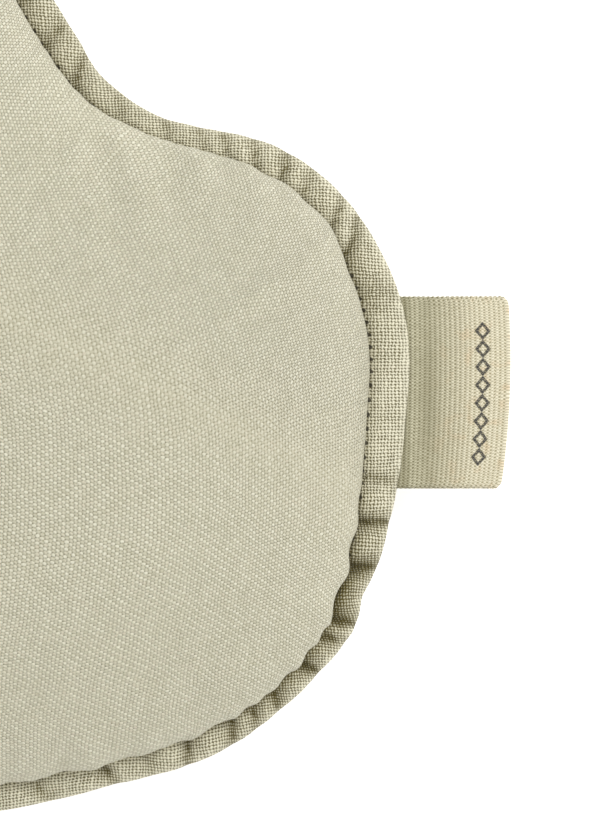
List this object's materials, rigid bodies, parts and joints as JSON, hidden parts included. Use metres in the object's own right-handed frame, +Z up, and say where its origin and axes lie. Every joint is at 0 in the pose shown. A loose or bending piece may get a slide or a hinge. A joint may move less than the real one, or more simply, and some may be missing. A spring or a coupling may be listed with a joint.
{
  "type": "eye pillow",
  "caption": "Contoured linen eye pillow with a nose notch, a topstitched flange, an envelope back over a bag of flax seed, and a folded ribbon label in the side seam.",
  "frame": {"origin": "centre of the flat patch on the underside that the pillow rests on, below the bridge of the nose", "axes": "+X along the pillow's length towards the temple with the label, +Y towards the forehead edge, +Z up through the front panel"},
  "size_m": [0.2335, 0.128, 0.027],
  "materials": {
    "cover_linen": "washed plain-weave linen, matte",
    "sewing_thread": "spun thread, matte",
    "label_ribbon": "ribbed woven ribbon, slight sheen",
    "bag_cotton": "unbleached cotton, matte",
    "bag_thread": "spun thread, matte",
    "flax_seed": "smooth seed husks, satin"
  },
  "bodies": {
    "pillow": {"cover_front_panel": "cover_linen", "cover_back_outer_panel": "cover_linen", "cover_back_inner_panel": "cover_linen", "cover_seam_thread": "sewing_thread", "topstitch_needle_thread": "sewing_thread", "topstitch_bobbin_thread": "sewing_thread", "outer_hem_thread": "sewing_thread", "inner_hem_thread": "sewing_thread", "label_end_front": "label_ribbon", "label_end_back": "label_ribbon", "bag_front_panel": "bag_cotton", "bag_back_panel": "bag_cotton", "bag_seam_thread": "bag_thread", "flax_seed_fill": "flax_seed"},
    "label": {"label_loop": "label_ribbon"}
  },
  "joints": [
    {"name": "label_flip", "type": "hinge", "parent": "pillow", "child": "label", "pos_m": [0.1111, 0, 0.011], "axis": [0, -1, 0], "range_deg": [-45, 90], "stiffness_Nm_per_rad": 0.0002}
  ]
}
